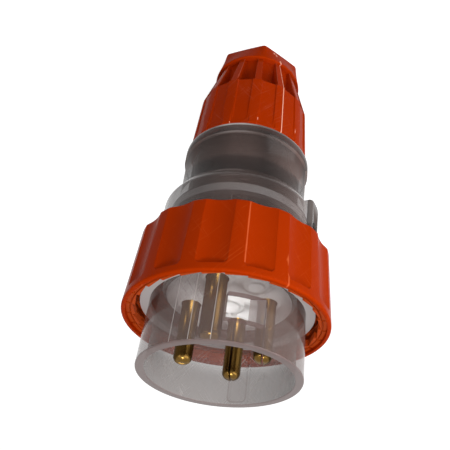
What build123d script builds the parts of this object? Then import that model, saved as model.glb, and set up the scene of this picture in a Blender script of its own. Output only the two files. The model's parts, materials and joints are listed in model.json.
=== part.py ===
from build123d import *
from math import cos, radians, sin
import os

os.makedirs("parts", exist_ok=True)

# Lengths along the plug, which stands on the end of its gland nut with its mouth upwards
nut_length = 59.0
nut_gap = 1.2
barrel_length = 25.8
shoulder_height = 6.0
skirt_length = 25.0
seal_height = 4.0
seal_seat = 1.8
collar_length = 12.0
flange_thickness = 4.5
gasket_thickness = 2.0
shroud_reach = 26.5
floor_depth = 4.5
ledge_thickness = 2.0

# Clear housings
shroud_radius = 30.7
shroud_draft = 0.6
shroud_wall = 3.2
bore_draft = 0.5
ledge_width = 2.4
flange_rim = 4.1
skirt_rise = 1.8
skirt_wall = 3.0
spigot_wall = 2.65
shoulder_step = 5.2
shoulder_taper = 3.5
shoulder_round = 4.0
bead_rise = 0.8
bead_height = 5.2
barrel_wall = 2.8
end_wall = 3.0
skirt_fit = 0.15
insert_fit = 0.15
edge_round = 0.4
mouth_bore_radius = shroud_radius - shroud_wall
shroud_base_radius = shroud_radius - shroud_draft
floor_bore_radius = mouth_bore_radius - bore_draft
ledge_radius = floor_bore_radius - ledge_width
flange_radius = shroud_base_radius + flange_rim
skirt_radius = shroud_base_radius + skirt_rise
spigot_radius = skirt_radius - skirt_wall
insert_radius = spigot_radius - spigot_wall
skirt_bore = spigot_radius + skirt_fit
spigot_bore = insert_radius + insert_fit
barrel_radius = skirt_radius - shoulder_step
barrel_bore = barrel_radius - barrel_wall
bead_radius = barrel_radius + bead_rise

# Window, key and lug on the housings
window_width = 13.8
window_height = 9.9
window_drop = 9.0
window_angle = 241.8
key_width = 7.4
key_height = 1.0
key_setback = 1.2
key_angle = 90.0
lug_width = 9.5
lug_height = 20.0
lug_reach = 1.8
lug_gap = 0.8
lug_crown_round = 1.6
lock_setback = 6.5
lug_angle = 190.7

# Locking ring
ring_lead = 5.4
ring_length = 31.6
ring_wall = 2.1
ring_flare = 1.8
ring_front_width = 1.7
ring_front_step = 1.4
ring_lip_height = 3.2
ring_lip_fit = 0.4
collar_gap = 2.0
tooth_count = 28
tooth_depth = 1.2
tooth_height = 2.6
tooth_angle = 258.1
thread_count = 3
thread_pitch = 4.5
thread_depth = 0.7
thread_width = 2.6
flute_count = 15
flute_width = 10.2
flute_depth = 1.4
flute_scoop_radius = 17.5
flute_setback = 3.7
flute_slope = 25.0
flute_angle = 265.3
ring_bore_radius = flange_radius + collar_gap
ring_rear_radius = ring_bore_radius + ring_wall
ring_mouth_radius = ring_rear_radius + ring_flare
tooth_radius = ring_bore_radius - tooth_depth
ring_front_radius = ring_mouth_radius - ring_front_width

# Gland nut
thread_step = 4.4
thread_fit = 0.3
thread_length = 26.0
nut_wall = 4.0
nut_waist_taper = 1.4
nut_waist_height = 30.5
nut_neck_taper = 5.5
nut_flange_height = 10.4
nut_flange_rim = 1.3
nut_hex_taper = 0.8
nut_hex_round = 2.2
nut_hex_angle = 250.7
nut_panel_count = 14
nut_panel_width = 6.2
nut_panel_depth = 0.7
nut_panel_setback = 2.4
nut_panel_angle = 266.9
pocket_width = 6.9
pocket_depth = 1.6
pocket_ramp = 4.0
thread_radius = barrel_radius - thread_step
nut_mouth_radius = thread_radius + nut_wall
nut_waist_radius = nut_mouth_radius - nut_waist_taper
nut_neck_radius = nut_waist_radius - nut_neck_taper
nut_flange_radius = nut_neck_radius + nut_flange_rim
nut_hex_radius = nut_flange_radius - nut_hex_taper
pocket_floor_radius = nut_neck_radius - pocket_depth

# Cord grip
cord_radius = 7.0
throat_room = 4.0
washer_room = 2.5
washer_inset = 0.5
washer_thickness = 2.0
washer_gap = 1.0
seal_groove_depth = 1.15
seal_groove_width = 2.0
nut_seal_section = 0.85
nut_seal_relief = 0.6
spout_wall = 5.5
grommet_length = 15.0
grommet_cone = 4.6
grommet_taper = 5.2
grommet_fit = 0.2
clamp_inset = 1.3
clamp_width = 11.0
clamp_height = 11.0
clamp_gap = 1.6
clamp_room = 0.4
clamp_screw_inset = 8.1
throat_radius = cord_radius + throat_room
washer_bore = cord_radius + washer_room
clamp_cord_radius = cord_radius + clamp_room
clamp_radius = barrel_bore - clamp_inset
clamp_screw_offset = clamp_radius - clamp_screw_inset
washer_radius = thread_radius - washer_inset
grommet_radius = thread_radius - spout_wall
grommet_tip_radius = grommet_radius - grommet_taper

# Contacts
pin_radius = 3.55
earth_radius = 4.0
earth_edge_gap = 3.7
earth_offset = 4.1
earth_angle = 270.0
pin_l1_angle = 180.0
pin_l2_angle = 90.0
pin_l3_angle = 0.0
slot_l1_angle = 262.0
slot_l2_angle = 270.0
slot_l3_angle = 338.0
pin_reach = 25.5
tip_flat = 0.9
pin_slot = 0.8
slot_length = 24.5
pin_root_rise = 0.35
pin_collar_radius = 5.1
pin_collar_height = 2.0
tail_radius = 4.4
tail_length = 20.0
wire_hole_radius = 2.6
wire_hole_depth = 14.0
contact_fit = 0.05
earth_ring_radius = floor_bore_radius - earth_edge_gap - earth_radius
pin_ring_radius = earth_ring_radius - earth_offset

# Insert
carrier_thickness = 5.0
boss_radius = 5.0
boss_height = 1.6
boss_edge_gap = 3.0
boss_angle = 45.0
hub_radius = 6.2
hub_wall = 2.0
hub_height = 2.0
web_width = 2.2
pin_seat_radius = 5.4
pin_seat_depth = 0.8
seal_inset = 1.5
boss_ring_radius = floor_bore_radius - boss_edge_gap - boss_radius

# Screws
screw_radius = 1.6
screw_head_radius = 2.8
screw_head_height = 2.0
screw_fit = 0.1
screw_slot = 0.8
screw_slot_depth = 1.2
terminal_screw_radius = 1.95
terminal_screw_height = 4.0

# How far a cutter runs past the face that it opens
cut_over = 1.0

# Levels worked out from the lengths
body_end = nut_length + nut_gap
shoulder_start = body_end + barrel_length
shoulder_top = shoulder_start + shoulder_height
skirt_top = shoulder_top + skirt_length
seal_bottom = shoulder_top + seal_seat
seal_top = seal_bottom + seal_height
flange_bottom = skirt_top + collar_length
flange_top = flange_bottom + flange_thickness
gasket_top = flange_top + gasket_thickness
rim = gasket_top + shroud_reach
floor = gasket_top - floor_depth
ledge_bottom = floor - ledge_thickness
carrier_bottom = ledge_bottom - carrier_thickness
ring_top = gasket_top + ring_lead
ring_bottom = ring_top - ring_length
tooth_top = ring_top - ring_front_step
thread_end = body_end - thread_length
washer_top = thread_end - washer_gap
nut_floor = washer_top - washer_thickness
barrel_floor = body_end + end_wall
lug_level = ring_bottom - lug_gap - lug_height / 2
lock_level = ring_bottom - lug_gap - lock_setback


def polar(radius, angle):
    return (radius * cos(radians(angle)), radius * sin(radians(angle)))


def corner(sketch, x, y):
    """The corner of a profile that lies nearest to a point."""
    return sketch.vertices().sort_by_distance((x, y, 0))[0]


def radial_plane(angle, distance, height):
    """A plane that faces outwards at an angle, with its local y along the plug."""
    x, y = polar(distance, angle)
    side = polar(1, angle + 90)
    return Plane(origin=(x, y, height), x_dir=(*side, 0), z_dir=(*polar(1, angle), 0))


def leaning_plane(low_radius, high_radius, low, high):
    """A plane on the +X side that leans with a cone from one height to another."""
    rise = high - low
    lean = high_radius - low_radius
    return Plane(origin=(low_radius, 0, low), x_dir=(0, 1, 0), z_dir=(rise, 0, -lean))


# Contact places: node name, ring radius, angle round the plug, pin radius, angle of the tip's slot
contacts = [
    ("earth_pin", earth_ring_radius, earth_angle, earth_radius, None),
    ("pin_l1", pin_ring_radius, pin_l1_angle, pin_radius, slot_l1_angle),
    ("pin_l2", pin_ring_radius, pin_l2_angle, pin_radius, slot_l2_angle),
    ("pin_l3", pin_ring_radius, pin_l3_angle, pin_radius, slot_l3_angle),
]
boss_places = [polar(boss_ring_radius, angle) for angle in (boss_angle, boss_angle + 180)]

# Clear shroud: tube round the pins, ledge for the carrier, flange for the gasket and spigot for the rear body
with BuildPart() as front_shroud:
    with BuildSketch(Plane.XZ) as shroud_wall:
        with BuildLine():
            Polyline(
                (mouth_bore_radius, rim),
                (shroud_radius, rim),
                (shroud_base_radius, flange_top),
                (flange_radius, flange_top),
                (flange_radius, flange_bottom),
                (skirt_radius, flange_bottom),
                (skirt_radius, skirt_top),
                (spigot_radius, skirt_top),
                (spigot_radius, seal_top),
                (spigot_bore, seal_top),
                (spigot_bore, ledge_bottom),
                (ledge_radius, ledge_bottom),
                (ledge_radius, floor),
                (floor_bore_radius, floor),
                close=True,
            )
        make_face()
        fillet(
            [corner(shroud_wall, shroud_radius, rim), corner(shroud_wall, mouth_bore_radius, rim)],
            edge_round,
        )
        fillet(corner(shroud_wall, floor_bore_radius, floor), edge_round * 3)
    revolve(axis=Axis.Z)
    with BuildSketch(radial_plane(window_angle, shroud_radius + cut_over, rim - window_drop - window_height / 2)):
        Rectangle(window_width, window_height)
    extrude(amount=-(shroud_radius - ledge_radius), mode=Mode.SUBTRACT)
    key_length = shroud_reach - key_setback
    key_depth = shroud_radius - mouth_bore_radius
    with BuildSketch(radial_plane(key_angle, shroud_radius + key_height, rim - key_setback)) as key_face:
        Rectangle(key_width, key_length, align=(Align.CENTER, Align.MAX))
        fillet(key_face.vertices().group_by(Axis.Y)[-1], key_width / 4)
    extrude(amount=-(key_height + key_depth / 2))
    with BuildSketch(radial_plane(lug_angle, spigot_radius + cut_over, lock_level)):
        Circle(screw_radius + screw_fit / 2)
    extrude(amount=-(spigot_radius + 2 * cut_over - spigot_bore), mode=Mode.SUBTRACT)
front_shroud.part.label = "front_shroud"
export_step(front_shroud.part, "parts/front_shroud.step")

# White gasket that seals on the socket's collar and clears the shroud's draft
with BuildPart() as face_gasket:
    gasket_bore_radius = shroud_base_radius + shroud_draft * gasket_thickness / (rim - flange_top) + contact_fit
    with BuildSketch(Plane.XY.offset(flange_top)):
        Circle(flange_radius - edge_round)
        Circle(gasket_bore_radius, mode=Mode.SUBTRACT)
    extrude(amount=gasket_thickness)
face_gasket.part.label = "face_gasket"
export_step(face_gasket.part, "parts/face_gasket.step")

# White band between the spigot's end and the rear body's shoulder, which also holds the insert in place
with BuildPart() as body_seal:
    with BuildSketch(Plane.XY.offset(seal_bottom)):
        Circle(spigot_radius)
        Circle(insert_radius - seal_inset, mode=Mode.SUBTRACT)
    extrude(amount=seal_height)
    chamfer(body_seal.edges().filter_by(GeomType.CIRCLE).group_by(SortBy.RADIUS)[-1], edge_round)
body_seal.part.label = "body_seal"
export_step(body_seal.part, "parts/body_seal.step")

# Rounded lug that stands on the skirt and takes the lock screw
with BuildPart() as lug:
    with BuildSketch(radial_plane(lug_angle, skirt_radius + lug_reach, lug_level)) as lug_face:
        Rectangle(lug_width, lug_height)
        fillet(lug_face.vertices().group_by(Axis.Y)[0], lug_width / 3)
        fillet(lug_face.vertices().group_by(Axis.Y)[-1], edge_round)
    extrude(amount=-(skirt_radius + lug_reach - skirt_bore - skirt_fit))
    lug_crown = lug.faces().sort_by_distance((*polar(skirt_radius + lug_reach, lug_angle), lug_level))[0]
    fillet(lug_crown.edges(), lug_crown_round)

# Clear rear body: skirt, rounded shoulder, barrel with a bead, and a threaded spout for the gland
with BuildPart() as rear_body:
    groove_top = body_end - seal_groove_width / 2
    groove_bottom = groove_top - seal_groove_width
    with BuildSketch(Plane.XZ) as body_wall:
        with BuildLine():
            Polyline(
                (skirt_bore, skirt_top),
                (skirt_radius, skirt_top),
                (skirt_radius, shoulder_top),
                (skirt_radius - shoulder_taper, shoulder_start + edge_round),
                (barrel_radius, shoulder_start),
                (barrel_radius, body_end + bead_height + edge_round),
                (bead_radius, body_end + bead_height),
                (bead_radius, body_end),
                (thread_radius, body_end),
                (thread_radius, groove_top),
                (thread_radius - seal_groove_depth, groove_top),
                (thread_radius - seal_groove_depth, groove_bottom),
                (thread_radius, groove_bottom),
                (thread_radius, thread_end),
                (grommet_radius + grommet_fit, thread_end),
                (grommet_radius + grommet_fit, washer_top + grommet_length - grommet_cone + grommet_fit),
                (grommet_tip_radius + grommet_fit, washer_top + grommet_length + grommet_fit),
                (throat_radius, washer_top + grommet_length + grommet_fit),
                (throat_radius, barrel_floor),
                (barrel_bore, barrel_floor),
                (barrel_bore, shoulder_start),
                (skirt_bore - shoulder_taper, seal_bottom),
                (skirt_bore, seal_bottom),
                close=True,
            )
        make_face()
        fillet(corner(body_wall, skirt_radius, shoulder_top), shoulder_round)
        fillet(corner(body_wall, skirt_radius - shoulder_taper, shoulder_start + edge_round), shoulder_round / 2)
        fillet(corner(body_wall, barrel_radius, shoulder_start), edge_round)
        fillet(corner(body_wall, bead_radius, body_end), 3 * edge_round)
        fillet(corner(body_wall, barrel_bore, barrel_floor), 3 * edge_round)
    revolve(axis=Axis.Z)
    add(lug.part)
    with BuildSketch(radial_plane(lug_angle, skirt_radius + lug_reach, lock_level)):
        Circle(screw_head_radius + screw_fit)
    extrude(amount=-(screw_head_height + screw_fit), mode=Mode.SUBTRACT)
    with BuildSketch(radial_plane(lug_angle, skirt_radius + lug_reach, lock_level)):
        Circle(screw_radius + screw_fit / 2)
    extrude(amount=-(skirt_radius + lug_reach - skirt_bore + cut_over), mode=Mode.SUBTRACT)
rear_body.part.label = "rear_body"
export_step(rear_body.part, "parts/rear_body.step")

# Screw that locks the rear body to the shroud
with BuildPart() as lock_screw:
    head_plane = radial_plane(lug_angle, skirt_radius + lug_reach - screw_head_height, lock_level)
    with BuildSketch(head_plane):
        Circle(screw_head_radius)
    extrude(amount=screw_head_height - screw_fit)
    with BuildSketch(head_plane):
        Circle(screw_radius)
    extrude(amount=-(skirt_radius + lug_reach - screw_head_height - spigot_bore - screw_fit))
    with BuildSketch(head_plane.offset(screw_head_height)):
        Rectangle(2 * screw_head_radius + cut_over, screw_slot)
    extrude(amount=-screw_head_height / 2, mode=Mode.SUBTRACT)
lock_screw.part.label = "lock_screw"
export_step(lock_screw.part, "parts/lock_screw.step")

# White pin carrier: a disc that pushes up against the ledge, with raised seats, bosses and a webbed hub
with BuildPart() as pin_carrier:
    with BuildSketch(Plane.XY.offset(carrier_bottom)):
        Circle(insert_radius)
    extrude(amount=carrier_thickness)
    with BuildSketch(Plane.XY.offset(ledge_bottom)):
        Circle(ledge_radius - insert_fit)
    extrude(amount=ledge_thickness)
    with BuildSketch(Plane.XY.offset(floor)):
        with Locations(*boss_places):
            Circle(boss_radius)
    extrude(amount=boss_height)
    with BuildSketch(Plane.XY.offset(floor)):
        with Locations(*boss_places):
            Circle(boss_radius - hub_wall)
    extrude(amount=boss_height, mode=Mode.SUBTRACT)
    with BuildSketch(Plane.XY.offset(floor)):
        Circle(hub_radius)
        Circle(hub_radius - hub_wall, mode=Mode.SUBTRACT)
    extrude(amount=hub_height)
    with BuildSketch(Plane.XY.offset(floor)):
        with PolarLocations(hub_radius - hub_wall / 2, 4):
            Rectangle(
                pin_ring_radius - pin_seat_radius - hub_radius + hub_wall,
                web_width,
                align=(Align.MIN, Align.CENTER),
            )
    extrude(amount=pin_seat_depth)
    for node, ring_radius, angle, radius, slot_angle in contacts:
        with BuildSketch(Plane.XY.offset(floor)):
            with Locations(polar(ring_radius, angle)):
                Circle(radius + hub_wall)
        extrude(amount=pin_seat_depth)
        with BuildSketch(Plane.XY.offset(carrier_bottom)):
            with Locations(polar(ring_radius, angle)):
                Circle(radius + pin_root_rise + contact_fit)
        extrude(amount=carrier_thickness + ledge_thickness + hub_height, mode=Mode.SUBTRACT)
        with BuildSketch(Plane.XY.offset(carrier_bottom)):
            with Locations(polar(ring_radius, angle)):
                Circle(pin_collar_radius + contact_fit)
        extrude(amount=pin_collar_height, mode=Mode.SUBTRACT)
    with BuildSketch(Plane.XY.offset(carrier_bottom)):
        with Locations(*boss_places):
            Circle(screw_radius + screw_fit / 2)
    extrude(amount=carrier_thickness, mode=Mode.SUBTRACT)
pin_carrier.part.label = "pin_carrier"
export_step(pin_carrier.part, "parts/pin_carrier.step")

# Terminal block that closes the carrier from behind, with a tunnel for each contact's tail
with BuildPart() as terminal_block:
    with BuildSketch(Plane.XY.offset(seal_top)):
        Circle(insert_radius)
        for node, ring_radius, angle, radius, slot_angle in contacts:
            with Locations(polar(ring_radius, angle)):
                Circle(tail_radius + contact_fit, mode=Mode.SUBTRACT)
        Circle(cord_radius, mode=Mode.SUBTRACT)
        with Locations(*boss_places):
            Circle(screw_radius + screw_fit / 2, mode=Mode.SUBTRACT)
    extrude(amount=carrier_bottom - seal_top)
    with BuildSketch(Plane.XY.offset(seal_top)):
        with Locations(*boss_places):
            Circle(screw_head_radius + screw_fit)
    extrude(amount=carrier_bottom - seal_top - tail_length / 2, mode=Mode.SUBTRACT)
    terminal_level = carrier_bottom - tail_length + terminal_screw_height
    for node, ring_radius, angle, radius, slot_angle in contacts:
        with BuildSketch(radial_plane(angle, insert_radius + cut_over, terminal_level)):
            Circle(terminal_screw_radius + contact_fit)
        extrude(amount=-(insert_radius + cut_over - ring_radius), mode=Mode.SUBTRACT)
terminal_block.part.label = "terminal_block"
export_step(terminal_block.part, "parts/terminal_block.step")

# Brass contacts: domed pin, collar held between carrier and block, and a tail bored for the wire
terminal_screw_solids = []
for node, ring_radius, angle, radius, slot_angle in contacts:
    x, y = polar(ring_radius, angle)
    tip = floor + pin_reach
    with BuildPart() as contact:
        with BuildSketch(Plane(origin=(x, y, 0), x_dir=(1, 0, 0), z_dir=(0, -1, 0))) as half:
            with BuildLine():
                Polyline(
                    (0, tip),
                    (radius, tip),
                    (radius, floor + pin_seat_depth),
                    (radius + pin_root_rise, floor + pin_seat_depth),
                    (radius + pin_root_rise, carrier_bottom + pin_collar_height - contact_fit),
                    (pin_collar_radius, carrier_bottom + pin_collar_height - contact_fit),
                    (pin_collar_radius, carrier_bottom),
                    (tail_radius, carrier_bottom),
                    (tail_radius, carrier_bottom - tail_length),
                    (0, carrier_bottom - tail_length),
                    close=True,
                )
            make_face()
            fillet(corner(half, radius, tip), radius - tip_flat)
        revolve(axis=Axis((x, y, 0), (0, 0, 1)))
        with BuildSketch(Plane.XY.offset(carrier_bottom - tail_length)):
            with Locations((x, y)):
                Circle(wire_hole_radius)
        extrude(amount=wire_hole_depth, mode=Mode.SUBTRACT)
        with BuildSketch(radial_plane(angle, ring_radius + tail_radius + cut_over, terminal_level)):
            Circle(terminal_screw_radius + contact_fit)
        extrude(amount=-(tail_radius + cut_over), mode=Mode.SUBTRACT)
        if slot_angle is not None:
            with BuildSketch(Plane.XY.offset(tip)):
                with Locations(Location((x, y, 0), (0, 0, slot_angle))):
                    Rectangle(2 * radius + cut_over, pin_slot)
            extrude(amount=-slot_length, mode=Mode.SUBTRACT)
    contact.part.label = node
    export_step(contact.part, f"parts/{node}.step")
    with BuildPart() as grub:
        with BuildSketch(radial_plane(angle, insert_radius - edge_round, terminal_level)):
            Circle(terminal_screw_radius)
        extrude(amount=-(insert_radius - edge_round - ring_radius - wire_hole_radius / 2))
        with BuildSketch(radial_plane(angle, insert_radius - edge_round, terminal_level)):
            Rectangle(screw_slot, 2 * terminal_screw_radius + cut_over)
        extrude(amount=-screw_slot_depth, mode=Mode.SUBTRACT)
    terminal_screw_solids.append(grub.part.solid())
terminal_screws = Compound(label="terminal_screws", children=terminal_screw_solids)
export_step(terminal_screws, "parts/terminal_screws.step")

# Screws that hold the terminal block to the carrier
carrier_screw_solids = []
head_level = carrier_bottom - tail_length / 2
for x, y in boss_places:
    with BuildPart() as long_screw:
        with BuildSketch(Plane.XY.offset(head_level)):
            with Locations((x, y)):
                Circle(screw_head_radius)
        extrude(amount=-screw_head_height)
        with BuildSketch(Plane.XY.offset(head_level)):
            with Locations((x, y)):
                Circle(screw_radius)
        extrude(amount=tail_length / 2 + carrier_thickness - screw_fit)
        with BuildSketch(Plane.XY.offset(head_level - screw_head_height)):
            with Locations((x, y)):
                Rectangle(2 * screw_head_radius + cut_over, screw_slot)
        extrude(amount=screw_head_height / 2, mode=Mode.SUBTRACT)
    carrier_screw_solids.append(long_screw.part.solid())
carrier_screws = Compound(label="carrier_screws", children=carrier_screw_solids)
export_step(carrier_screws, "parts/carrier_screws.step")

# Cord clamp: two halves that close round the cord on the barrel's floor
clamp_half = clamp_gap / 2
with BuildPart() as clamp_saddle:
    with BuildSketch(Plane.XY.offset(barrel_floor)):
        Circle(clamp_radius)
        with Locations((0, clamp_half)):
            Rectangle(2 * clamp_radius, clamp_width, align=(Align.CENTER, Align.MIN), mode=Mode.INTERSECT)
        Circle(clamp_cord_radius, mode=Mode.SUBTRACT)
    extrude(amount=clamp_height)
    clamp_level = barrel_floor + clamp_height / 2
    with BuildSketch(Plane.XZ.offset(-clamp_half - clamp_width)):
        with Locations((-clamp_screw_offset, clamp_level), (clamp_screw_offset, clamp_level)):
            Circle(screw_radius + screw_fit / 2)
    extrude(amount=clamp_width + cut_over, mode=Mode.SUBTRACT)
clamp_saddle.part.label = "clamp_saddle"
export_step(clamp_saddle.part, "parts/clamp_saddle.step")

with BuildPart() as clamp_bar:
    with BuildSketch(Plane.XY.offset(barrel_floor)):
        Circle(clamp_radius)
        with Locations((0, -clamp_half)):
            Rectangle(2 * clamp_radius, clamp_width, align=(Align.CENTER, Align.MAX), mode=Mode.INTERSECT)
        Circle(clamp_cord_radius, mode=Mode.SUBTRACT)
    extrude(amount=clamp_height)
    with BuildSketch(Plane.XZ.offset(clamp_half - cut_over)):
        with Locations((-clamp_screw_offset, clamp_level), (clamp_screw_offset, clamp_level)):
            Circle(screw_radius + screw_fit / 2)
    extrude(amount=clamp_width + cut_over, mode=Mode.SUBTRACT)
clamp_bar.part.label = "clamp_bar"
export_step(clamp_bar.part, "parts/clamp_bar.step")

clamp_screw_solids = []
for side in (-1, 1):
    with BuildPart() as clamp_screw:
        with BuildSketch(Plane.XZ.offset(clamp_half + clamp_width)):
            with Locations((side * clamp_screw_offset, clamp_level)):
                Circle(screw_head_radius)
        extrude(amount=screw_head_height)
        with BuildSketch(Plane.XZ.offset(clamp_half + clamp_width)):
            with Locations((side * clamp_screw_offset, clamp_level)):
                Circle(screw_radius)
        extrude(amount=-(2 * clamp_width + clamp_gap - cut_over))
        with BuildSketch(Plane.XZ.offset(clamp_half + clamp_width + screw_head_height)):
            with Locations((side * clamp_screw_offset, clamp_level)):
                Rectangle(2 * screw_head_radius + cut_over, screw_slot)
        extrude(amount=-screw_head_height / 2, mode=Mode.SUBTRACT)
    clamp_screw_solids.append(clamp_screw.part.solid())
clamp_screws = Compound(label="clamp_screws", children=clamp_screw_solids)
export_step(clamp_screws, "parts/clamp_screws.step")

# Rubber grommet that the gland squeezes onto the cord
with BuildPart() as gland_grommet:
    grommet_top = washer_top + grommet_length
    with BuildSketch(Plane.XZ):
        with BuildLine():
            Polyline(
                (cord_radius, washer_top),
                (grommet_radius, washer_top),
                (grommet_radius, grommet_top - grommet_cone),
                (grommet_tip_radius, grommet_top),
                (cord_radius, grommet_top),
                close=True,
            )
        make_face()
    revolve(axis=Axis.Z)
gland_grommet.part.label = "gland_grommet"
export_step(gland_grommet.part, "parts/gland_grommet.step")

# Washer that lets the nut turn on the grommet
with BuildPart() as slip_washer:
    with BuildSketch(Plane.XY.offset(nut_floor)):
        Circle(washer_radius)
        Circle(washer_bore, mode=Mode.SUBTRACT)
    extrude(amount=washer_thickness)
slip_washer.part.label = "slip_washer"
export_step(slip_washer.part, "parts/slip_washer.step")

# Rubber ring in the groove at the root of the gland thread
with BuildPart() as nut_seal:
    seal_centre = thread_radius - seal_groove_depth + nut_seal_section + contact_fit
    with BuildSketch(Plane.XZ):
        with Locations((seal_centre, body_end - seal_groove_width)):
            Circle(nut_seal_section)
    revolve(axis=Axis.Z)
nut_seal.part.label = "nut_seal"
export_step(nut_seal.part, "parts/nut_seal.step")

# Cutter for one flute of the locking ring: a scoop that leans with the ring, round at its front end
flute_length = ring_length - flute_setback
with BuildPart() as flute:
    flute_plane = leaning_plane(
        ring_rear_radius - flute_depth,
        ring_mouth_radius - flute_depth,
        ring_bottom,
        ring_top,
    )
    with BuildSketch(flute_plane) as flute_face:
        with Locations((0, -ring_lip_height)):
            Rectangle(flute_width, flute_length + ring_lip_height, align=(Align.CENTER, Align.MIN))
        fillet(flute_face.vertices().group_by(Axis.Y)[-1], flute_width / 7)
    extrude(amount=4 * flute_depth, taper=-flute_slope)
    scoop_plane = Plane(
        origin=flute_plane.origin,
        x_dir=flute_plane.z_dir,
        z_dir=-flute_plane.y_dir,
    )
    with BuildSketch(scoop_plane.offset(2 * ring_lip_height)):
        with Locations((flute_scoop_radius, 0)):
            Circle(flute_scoop_radius)
    extrude(amount=-(ring_length + 4 * ring_lip_height), mode=Mode.INTERSECT)

# Orange locking ring: fluted outside, ratchet teeth at its mouth, thread inside and a lip behind
with BuildPart() as locking_ring:
    with BuildSketch(Plane.XZ) as ring_wall:
        with BuildLine():
            Polyline(
                (skirt_radius + ring_lip_fit, ring_bottom),
                (ring_rear_radius, ring_bottom),
                (ring_mouth_radius, ring_top),
                (ring_front_radius, ring_top),
                (ring_front_radius, tooth_top),
                (tooth_radius - tooth_depth, tooth_top),
                (tooth_radius - tooth_depth, tooth_top - tooth_height),
                (ring_bore_radius, tooth_top - tooth_height),
                (ring_bore_radius, ring_bottom + ring_lip_height),
                (skirt_radius + ring_lip_fit, ring_bottom + ring_lip_height),
                close=True,
            )
        make_face()
        fillet(corner(ring_wall, ring_mouth_radius, ring_top), 2 * edge_round)
        fillet(corner(ring_wall, ring_rear_radius, ring_bottom), edge_round)
    revolve(axis=Axis.Z)
    with BuildSketch(Plane.XY.offset(tooth_top - tooth_height - edge_round)):
        with BuildLine():
            teeth = []
            for k in range(tooth_count):
                teeth.append(polar(tooth_radius + tooth_depth, tooth_angle + 360 * k / tooth_count))
                teeth.append(polar(tooth_radius, tooth_angle + 360 * (k + 1) / tooth_count))
            Polyline(*teeth, close=True)
        make_face()
    extrude(amount=tooth_height + 2 * edge_round, mode=Mode.SUBTRACT)
    with BuildSketch(Plane.XZ):
        for k in range(thread_count):
            level = tooth_top - tooth_height - (k + 0.75) * thread_pitch
            with BuildLine():
                Polyline(
                    (ring_bore_radius - edge_round, level + thread_width / 2),
                    (ring_bore_radius + thread_depth, level + thread_width / 4),
                    (ring_bore_radius + thread_depth, level - thread_width / 4),
                    (ring_bore_radius - edge_round, level - thread_width / 2),
                    close=True,
                )
            make_face()
    revolve(axis=Axis.Z, mode=Mode.SUBTRACT)
    with PolarLocations(0, flute_count, start_angle=flute_angle):
        add(flute.part, mode=Mode.SUBTRACT)
locking_ring.part.label = "locking_ring"
export_step(locking_ring.part, "parts/locking_ring.step")

# Cutter for one shallow panel of the gland nut's lower tier
with BuildPart() as nut_panel:
    panel_plane = leaning_plane(
        nut_waist_radius - nut_panel_depth,
        nut_mouth_radius - nut_panel_depth,
        nut_waist_height,
        nut_length,
    )
    with BuildSketch(panel_plane) as panel_face:
        with Locations((0, -pocket_ramp / 2)):
            Rectangle(
                nut_panel_width,
                nut_length - nut_waist_height - nut_panel_setback + pocket_ramp / 2,
                align=(Align.CENTER, Align.MIN),
            )
        fillet(panel_face.vertices().group_by(Axis.Y)[-1], nut_panel_width / 6)
    extrude(amount=4 * nut_panel_depth, taper=-flute_slope)

# Cutter for one deep pocket between the ribs of the upper tier
with BuildPart() as nut_pocket:
    with BuildSketch(Plane.XZ):
        with BuildLine():
            Polyline(
                (pocket_floor_radius, nut_flange_height),
                (pocket_floor_radius, nut_waist_height - pocket_ramp),
                (nut_waist_radius + nut_panel_depth, nut_waist_height + nut_panel_depth),
                (nut_mouth_radius + nut_panel_depth, nut_waist_height + nut_panel_depth),
                (nut_mouth_radius + nut_panel_depth, nut_flange_height),
                close=True,
            )
        make_face()
    extrude(amount=pocket_width / 2, both=True)
    fillet(nut_pocket.edges().filter_by(Axis.Z).group_by(Axis.X)[0], pocket_width / 6)

# Orange gland nut: flange that turns from round to six-sided, ribbed waist, fluted skirt, threaded bore
with BuildPart() as gland_nut:
    with BuildSketch(Plane.XZ) as nut_wall:
        with BuildLine():
            Polyline(
                (throat_radius, nut_flange_height - edge_round),
                (nut_neck_radius, nut_flange_height - edge_round),
                (nut_waist_radius, nut_waist_height),
                (nut_mouth_radius, nut_length),
                (thread_radius + thread_fit + nut_seal_relief, nut_length),
                (thread_radius + thread_fit + nut_seal_relief, nut_length - 2 * seal_groove_width),
                (thread_radius + thread_fit, nut_length - 2 * seal_groove_width - nut_seal_relief),
                (thread_radius + thread_fit, nut_floor),
                (throat_radius, nut_floor),
                close=True,
            )
        make_face()
        fillet(corner(nut_wall, nut_mouth_radius, nut_length), 2 * edge_round)
    revolve(axis=Axis.Z)
    with PolarLocations(0, nut_panel_count, start_angle=nut_panel_angle):
        add(nut_panel.part, mode=Mode.SUBTRACT)
    with PolarLocations(0, nut_panel_count, start_angle=nut_panel_angle):
        add(nut_pocket.part, mode=Mode.SUBTRACT)
    with BuildSketch(Plane.XY) as hexagon:
        RegularPolygon(nut_hex_radius, 6, rotation=nut_hex_angle)
        fillet(hexagon.vertices(), nut_hex_round)
    with BuildSketch(Plane.XY.offset(nut_flange_height)):
        Circle(nut_flange_radius)
    loft()
    with BuildSketch(Plane.XY):
        Circle(throat_radius)
    extrude(amount=nut_floor + cut_over, mode=Mode.SUBTRACT)
    mouth_edge = gland_nut.edges().filter_by(GeomType.CIRCLE).group_by(Axis.Z)[0]
    chamfer(mouth_edge.group_by(SortBy.RADIUS)[0], 2 * edge_round)
gland_nut.part.label = "gland_nut"
export_step(gland_nut.part, "parts/gland_nut.step")
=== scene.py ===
"""Looks for a clear industrial plug with an orange locking ring and gland nut."""
import json

import bmesh
import bpy
import numpy as np
from mathutils import Matrix, Vector


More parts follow.
